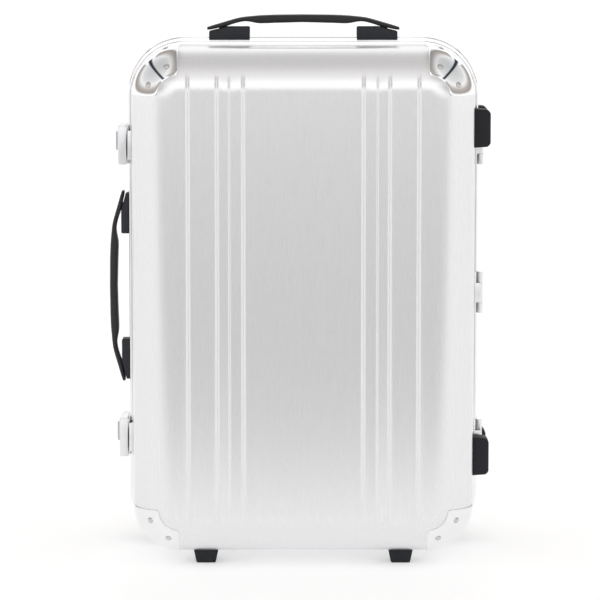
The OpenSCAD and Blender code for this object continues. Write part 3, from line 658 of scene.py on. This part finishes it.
def along(points, x):
    """Height of a smooth line through points at x."""
    x = abs(x)
    for (x0, y0), (x1, y1) in zip(points, points[1:]):
        if x <= x1:
            return y0 + (y1 - y0) * (x - x0) / (x1 - x0)
    return points[-1][1]


def smooth_line(points, xs):
    """Heights of the line at xs, each a mean over a short reach in mm."""
    reach = 3.0
    return [sum(along(points, min(x + d, STRAP_HALF)) for d in (-reach, -reach / 2, 0, reach / 2, reach)) / 5
            for x in xs]


def strap_handle(name, node, body, place):
    """Padded strap lofted from end to end, thick in the middle, with its two stems.

    place takes (along, up, across) in metres, with up measured from the crest.
    """
    xs = spaced(-STRAP_HALF, STRAP_HALF, 81)
    tops, feet = smooth_line(STRAP_TOP, xs), smooth_line(STRAP_FOOT, xs)
    around = 32
    verts = []
    for x, top, foot in zip(xs, tops, feet):
        half_t, mid = (top - foot) / 2, (top + foot) / 2
        taper = 1 - smoothstep(STRAP_HALF - STRAP_END, STRAP_HALF, abs(x)) * STRAP_TAPER
        for t in full_turn(around):
            c, q = math.cos(t), math.sin(t)
            across = math.copysign(abs(c) ** SQUARE_ACROSS, c) * STRAP_W / 2 * taper
            up = mid + math.copysign(abs(q) ** SQUARE_UP, q) * half_t
            verts.append(place(x * MM, up * MM, across))
    faces = quads(len(xs), around, wrap_columns=True)
    faces += [tuple(range(around))[::-1], tuple(range(len(verts) - around, len(verts)))]
    parts = [(verts, faces)]
    section = [(sx * STEM_W / 2, sy * STEM_D / 2) for sx, sy in ((-1, -1), (1, -1), (1, 1), (-1, 1))]
    stem, stem_faces = extruded(rounded_profile(section, [STEM_R] * 4, 4), 1.0, Matrix.Identity(4))
    foot = stem_foot(node)
    for end in (-1, 1):
        parts.append(([place(end * STEM_X + v.x, -STEM_TOP if v.z > 0.5 else foot, v.y) for v in stem],
                      stem_faces))
    verts, faces = merged(parts)
    return piece(name, verts, faces, STRAP, body, (node,), 50)


def stem_foot(node):
    """Depth of a strap's stems below its crest."""
    low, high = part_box(node)
    return -(high.z - low.z) if node.startswith("top") else -(high.x - low.x)


def top_strap_place(x, up, across):
    low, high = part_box("top_handle_strap")
    return Vector(((low.x + high.x) / 2 + x, (low.y + high.y) / 2 + across, high.z + up))


def side_strap_place(x, up, across):
    low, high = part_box("side_handle_strap")
    return Vector((low.x - up, (low.y + high.y) / 2 + across, (low.z + high.z) / 2 + x))


# ---------- Wheels ----------

TYRE_DEPTH, TYRE_CROWN = 6 * MM, 20 * MM            # rubber over the hub, and the tread's radius across
BORE_CHAMFER = 1.8 * MM
SHOULDER_W, SHOULDER_DROP = 1.6 * MM, 0.9 * MM
TREAD_GROOVES = [-3.2 * MM, 3.2 * MM]
GROOVE_HALF, GROOVE_DROP = (0.45 * MM, 0.75 * MM), 0.8 * MM     # floor and mouth of a groove


def tyre(node, body):
    """Crowned tyre with two tread grooves and rounded shoulders."""
    low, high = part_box(node)
    centre = (low + high) / 2
    radius, half = (high.z - low.z) / 2, (high.x - low.x) / 2
    bore, side_wall, steps = radius - TYRE_DEPTH, 0.4 * MM, 72
    line = [(bore, -half), (bore + BORE_CHAMFER, -half)]
    for t in spaced(-half + side_wall, half - side_wall, 41):
        r = radius - TYRE_CROWN + math.sqrt(TYRE_CROWN ** 2 - t ** 2)
        shoulder = (1 - smoothstep(0, SHOULDER_W, half - abs(t))) * SHOULDER_DROP
        groove = max(1 - smoothstep(*GROOVE_HALF, abs(t - g)) for g in TREAD_GROOVES) * GROOVE_DROP
        line.append((r - shoulder - groove, t))
    line += [(bore + BORE_CHAMFER, half), (bore, half)]
    place = Matrix.Translation(centre) @ Matrix.Rotation(math.radians(90), 4, "Y")
    verts = lathed(line, place, steps)[0]
    faces = quads(len(line), steps, wrap_rows=True, wrap_columns=True)
    return piece(node + "_tread", verts, faces, TYRE, body, (node,), 30)


# ---------- Lining ----------

LID_LINING_OUT = -5.4 * MM                  # offset from the outside of the shell
LINING_T = 1.0 * MM
LINING_START = FLANGE_D + 0.3 * MM          # clear of the rail's flange
SLACK = 0.35 * MM
HEM, HEM_W, PIPE_R = 0.5 * MM, 9 * MM, 1.1 * MM
PIPE_W = 3 * MM
LINING_GAP = 0.3 * MM                       # round the cup and the wheel housings


def soft_relief(x, z):
    """Slight slackness of the cloth between the places where it is stuck down, in waves per metre."""
    wave = math.sin(x * 61 + 1.3 * math.sin(z * 23)) * math.cos(z * 47 + x * 17)
    return -SLACK * (1 + wave) / 2


def lid_lining():
    verts, faces = tray_surface(LID_LINING_OUT, LINING_START, -1, soft_relief)
    return piece("lid_lining_cloth", verts, faces, LINING, "lid", ("lid_lining",), 60,
                 [solidify(LINING_T)])


def lining_walls():
    """Cloth on the base's walls, with a bound hem at its mouth and piping where it meets the floor."""
    low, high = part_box("base_lining_walls")
    outer = CORNER_R - (SHELL_HI.x - high.x)
    inner = outer - LINING_T
    mouth, foot = low.y, high.y
    hem_end, clear = mouth + HEM_W, 4 * MM
    profile = [(outer, mouth), (inner - HEM, mouth + 0.2 * MM), (inner - HEM, hem_end),
               (inner - HEM / 2, hem_end + 0.3 * MM), (inner, hem_end + 0.5 * MM)]
    profile += [(inner, depth) for depth in spaced(hem_end + clear, foot - clear, 6)]
    profile += [(inner - PIPE_R * math.sin(math.pi * t), foot - PIPE_W + PIPE_W * t) for t in spaced(0, 0.95, 8)]
    profile += [(outer, foot)]
    verts, faces = swept_ring(profile, 1)
    obj = piece("base_lining_walls_cloth", verts, faces, LINING, "base",
                ("base_lining_walls",), 50)
    cut(obj, fitting_boxes(LINING_GAP, FAR))
    shade(obj, 50)


# ---------- Latch lips and mount skirts ----------

LIP_INSET, LIP_W, LIP_T, LIP_PROUD = 0.5 * MM, 9.4 * MM, 1.6 * MM, 0.4 * MM
LIP_BOW, LIP_BOW_OFF, LIP_BOW_POWER = 1.3 * MM, 0.15, 2.4       # depth, shift of the middle, squareness


def lever_lip(level, body):
    """Face plate of a lever, with a bowed inner edge that leaves a lens of shadow beside the frame."""
    low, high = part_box("latch_lever_" + level)
    centre, half = (low.z + high.z) / 2, (high.z - low.z) / 2 - 0.3 * MM
    back = low.x + LIP_INSET
    edge = [(back + LIP_W - LIP_BOW * (1 - abs(t + LIP_BOW_OFF) ** LIP_BOW_POWER), centre + half * t)
            for t in spaced(-1, 1, 25)]
    outline = [(back, centre - half)] + edge + [(back, centre + half)]
    place = (Matrix.Translation((0, low.y - LIP_PROUD, 0)) @ Matrix.Rotation(math.radians(90), 4, "X")
             @ Matrix.Scale(-1, 4, (0, 0, 1)))
    verts, faces = extruded(outline, LIP_T, place)
    return piece(f"lever_{level}_lip", verts, faces, SATIN, body, (), 40, [bevel(0.4 * MM)])


APRON_L, APRON_T, APRON_DROP = 42 * MM, 3.0 * MM, 3.1 * MM
APRON_GAP, APRON_LAP, APRON_TOP = 0.1 * MM, 0.5 * MM, 0.4 * MM
KNEE_L, KNEE_DROP = 19 * MM, 5.2 * MM       # slanted outer end of a mount's top


def mount_skirts():
    """Front aprons of the top handle's mounts, which reach down over the base rail's front edge."""
    low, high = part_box("top_handle_mounts")
    centre, reach = (low.x + high.x) / 2, (high.x - low.x) / 2
    front, back, foot, step, top = (low.y - APRON_T, low.y + APRON_LAP, low.z - APRON_DROP,
                                    low.z + APRON_GAP, high.z - APRON_TOP)
    section = [(front, foot), (APRON_GAP, foot), (APRON_GAP, step), (back, step), (back, top), (front, top)]
    count = len(section)
    for name, sx in (("left", -1), ("right", 1)):
        verts = []
        for inset, drop in ((0, KNEE_DROP), (KNEE_L, 0), (APRON_L, 0)):
            verts += [Vector((centre + sx * (reach - inset), y, z - (drop if z == top else 0))) for y, z in section]
        faces = quads(3, count, wrap_columns=True) + [tuple(range(count)), tuple(range(2 * count, 3 * count))]
        piece("mount_apron_" + name, verts, faces, BLACK, "base", (), 40, [bevel(0.6 * MM)])


# ---------- Scene: floor, light and camera ----------

FLOOR_HALF = 60.0
# Floor colour under the case, its painted shade ahead, and the strength of its painted glow, which washes out the
# case's shadow and brightens what the shells reflect below
FLOOR_WHITE, FLOOR_PAINTED_SHADE_AHEAD, FLOOR_PAINTED_GLOW = 0.93, 0.80, 0.36
FLOOR_FADE = (0.25, 1.1)            # metres ahead of the case over which the floor's painted glow fades out and its painted shade turns it grey


def build_stage():
    """Plain pale floor past the horizon, white under the case with a painted glow that washes out the case's
    shadow, and a little greyer ahead of it with painted shade.
    """
    mesh = bpy.data.meshes.new("floor")
    mesh.from_pydata([(sx * FLOOR_HALF, sy * FLOOR_HALF, 0) for sx, sy in ((-1, -1), (1, -1), (1, 1), (-1, 1))],
                     [], [(0, 1, 2, 3)])
    floor = bpy.data.objects.new("floor", mesh)
    bpy.context.scene.collection.objects.link(floor)
    mat, nodes, links, shader = node_material("floor_white_with_painted_glow", (FLOOR_WHITE,) * 3, 0.7)
    where = nodes.new("ShaderNodeTexCoord")
    split = nodes.new("ShaderNodeSeparateXYZ")
    links.new(where.outputs["Object"], split.inputs["Vector"])
    aside = math_node(nodes, links, "ABSOLUTE", split.outputs["X"])
    front = math_node(nodes, links, "MULTIPLY", split.outputs["Y"], -1.0)
    far = nodes.new("ShaderNodeMapRange")
    far.interpolation_type = "SMOOTHSTEP"
    far.inputs["From Min"].default_value, far.inputs["From Max"].default_value = FLOOR_FADE
    links.new(math_node(nodes, links, "SUBTRACT", front, aside), far.inputs["Value"])
    # Painted shade greys the floor ahead and its painted glow fades out there: under the case the floor shines by
    # itself, though it is no lamp
    for socket, near_value, far_value in (("Base Color", FLOOR_WHITE, FLOOR_PAINTED_SHADE_AHEAD), ("Emission Color", 1.0, 0.0)):
        links.new(ramp(nodes, links, far.outputs["Result"], near_value, far_value, 0.0, 1.0), shader.inputs[socket])
    # Strength of the floor's painted glow
    shader.inputs["Emission Strength"].default_value = FLOOR_PAINTED_GLOW
    mesh.materials.append(mat)


def world_value(nodes, links, source, stops):
    """Brightness over a direction component, from (value, brightness) stops in rising order."""
    spread = nodes.new("ShaderNodeMapRange")
    spread.inputs["From Min"].default_value = -1.0
    links.new(source, spread.inputs["Value"])
    shape = nodes.new("ShaderNodeValToRGB")
    elements = shape.color_ramp.elements
    for element, (value, level) in zip((elements[0], elements[1]), (stops[0], stops[-1])):
        element.position, element.color = (value + 1) / 2, grey(level)
    for value, level in stops[1:-1]:
        elements.new((value + 1) / 2).color = grey(level)
    links.new(spread.outputs["Result"], shape.inputs["Fac"])
    return shape.outputs["Color"]


def blended(nodes, links, kind, a, b):
    """Two colours mixed in full by a blend type."""
    mix = nodes.new("ShaderNodeMix")
    mix.data_type = "RGBA"
    mix.blend_type = kind
    mix.inputs["Factor"].default_value = 1.0
    links.new(a, mix.inputs[6])
    links.new(b, mix.inputs[7])
    return mix.outputs[2]


WORLD_GAIN = 1.45
GAP_DARK = (0.03, 0.035, 0.06)
# Brightness of the studio as (value, brightness) stops over a measure of direction, multiplied together
BY_HEIGHT = [(-0.1, 0.9), (0.1, 0.96), (0.7, 0.93), (0.97, 0.70)]
BY_DEPTH = [(-0.15, 1.0), (0.4, 0.96), (1.0, 0.88)]
GAP_LINE = [(0.0, GAP_DARK), (0.03, GAP_DARK), (0.07, 1.0)]         # over the angle from the diagonal
GAP_REACH = [(0.14, 1.0), (0.2, 0.0)]                               # over |x| times z
TOP_PANEL = [(0.2, 1.0), (0.36, 0.62), (0.5, 0.5)]
ROOM_BAND = [(0.05, 1.0), (0.11, (0.30, 0.27, 0.25)), (0.2, (0.42, 0.39, 0.37)), (0.3, 1.0)]
ROOM_CLEAR = [(0.1, 1.0), (0.16, 0.0)]                              # no band near the diagonal


def build_light():
    """White studio: softer straight up, with dark gaps between its panels and a warm band beside them."""
    world = bpy.data.worlds.new("studio")
    bpy.context.scene.world = world
    world.use_nodes = True
    nodes, links = world.node_tree.nodes, world.node_tree.links
    background = nodes["Background"]
    where = nodes.new("ShaderNodeTexCoord")
    split = nodes.new("ShaderNodeSeparateXYZ")
    links.new(where.outputs["Generated"], split.inputs["Vector"])
    side = math_node(nodes, links, "ABSOLUTE", split.outputs["X"])
    apart = math_node(nodes, links, "ABSOLUTE", math_node(nodes, links, "SUBTRACT", side, split.outputs["Z"]))
    corner = math_node(nodes, links, "MULTIPLY", side, split.outputs["Z"])

    def value(source, stops):
        return world_value(nodes, links, source, stops)

    lines = blended(nodes, links, "LIGHTEN", value(apart, GAP_LINE), value(corner, GAP_REACH))
    room = blended(nodes, links, "LIGHTEN", value(corner, ROOM_BAND), value(apart, ROOM_CLEAR))
    colour = value(split.outputs["Z"], BY_HEIGHT)
    for part in (lines, value(corner, TOP_PANEL), room, value(split.outputs["Y"], BY_DEPTH)):
        colour = blended(nodes, links, "MULTIPLY", colour, part)
    links.new(colour, background.inputs["Color"])
    background.inputs["Strength"].default_value = WORLD_GAIN


CAMERA_FAR, CAMERA_RISE, CAMERA_LENS = 3.5, 6.7, 201.7      # metres, degrees, mm
AIM_X, AIM_Z = -3.4 * MM, -8.2 * MM                         # aim point from the middle of the shells


def build_camera():
    """Long lens in front of the case, looking slightly down."""
    distance, elevation = CAMERA_FAR, math.radians(CAMERA_RISE)
    target = Vector((MID_X + AIM_X, 0, MID_Z + AIM_Z))
    data = bpy.data.cameras.new("camera")
    data.lens = CAMERA_LENS
    data.sensor_width = 36
    data.clip_end = 200
    camera = bpy.data.objects.new("camera", data)
    bpy.context.scene.collection.objects.link(camera)
    camera.location = target + distance * Vector((0, -math.cos(elevation), math.sin(elevation)))
    camera.rotation_euler = (target - camera.location).to_track_quat("-Z", "Y").to_euler()
    bpy.context.scene.camera = camera
    bpy.context.scene.view_settings.view_transform = "Standard"


# ---------- Build ----------

CORNERS = {"top_left": (-1, 1), "top_right": (1, 1), "bottom_left": (-1, -1), "bottom_right": (1, -1)}
# Rounding of the edges of the pieces made from a node's outline, in mm
EDGES = {
    "hinge_lid_leaves": 0.3, "hinge_base_leaves": 0.3, "latch_keeper_upper": 0.25, "latch_keeper_lower": 0.25,
    "latch_base_upper": 0.4, "latch_base_lower": 0.4, "latch_lever_upper": 0.8, "latch_lever_lower": 0.8,
    "bottom_feet": 1.4, "lid_side_feet": 1.6, "base_side_feet": 1.6, "top_handle_mounts": 0.8,
    "side_handle_mounts": 0.8, "wheel_housing_left": 0.9, "wheel_housing_right": 0.9, "trolley_cup": 0.7,
    "trolley_grip": 0.6, "release_button": 0.5, "wheel_hub_left": 0.4, "wheel_hub_right": 0.4,
    "strap_buckles": 1.2, "packing_straps": 0.35,
    **{f"dial_{row}_{n}": 0.2 for row in ("upper", "lower") for n in (1, 2, 3)},
}
LINING_EDGE = 0.3

build_camera()
build_light()
build_stage()
dress_cad_nodes()

half_shell("lid_shell", -1, "front_shell", "lid")
half_shell("base_shell", 1, "back_shell", "base", fitting_boxes(0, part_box("trolley_cup")[1].y))
rail("lid_rail", -1, LID_LIP, LID_RAIL_D, RAIL, "front_frame", "lid")
rail("base_rail", 1, BASE_LIP, BASE_RAIL_D, RAIL, "back_frame", "base")
for corner, (sx, sz) in CORNERS.items():
    protector("lid_guard_" + corner, sx, sz, -1, LID_RAIL_D + GUARD_GAP, "front_protector_" + corner, "lid")
for corner, sx in (("left", -1), ("right", 1)):
    protector("base_guard_" + corner, sx, 1, 1, BASE_RAIL_D + GUARD_GAP, "back_protector_" + corner, "base")
rivets("lid_rivets", CORNERS.values(), -1, "front_rivets", "lid")
rivets("base_rivets", [(-1, 1), (1, 1)], 1, "back_rivets", "base")

for node, edge in EDGES.items():
    finished(node, edge * MM)
strap_handle("top_strap", "top_handle_strap", "top_handle", top_strap_place)
strap_handle("side_strap", "side_handle_strap", "side_handle", side_strap_place)
for side_name in ("left", "right"):
    tyre("wheel_tyre_" + side_name, "wheel_" + side_name)
lid_lining()
lining_walls()
finished("base_lining_floor", LINING_EDGE * MM)
for level in ("upper", "lower"):
    lever_lip(level, "lever_" + level)
mount_skirts()
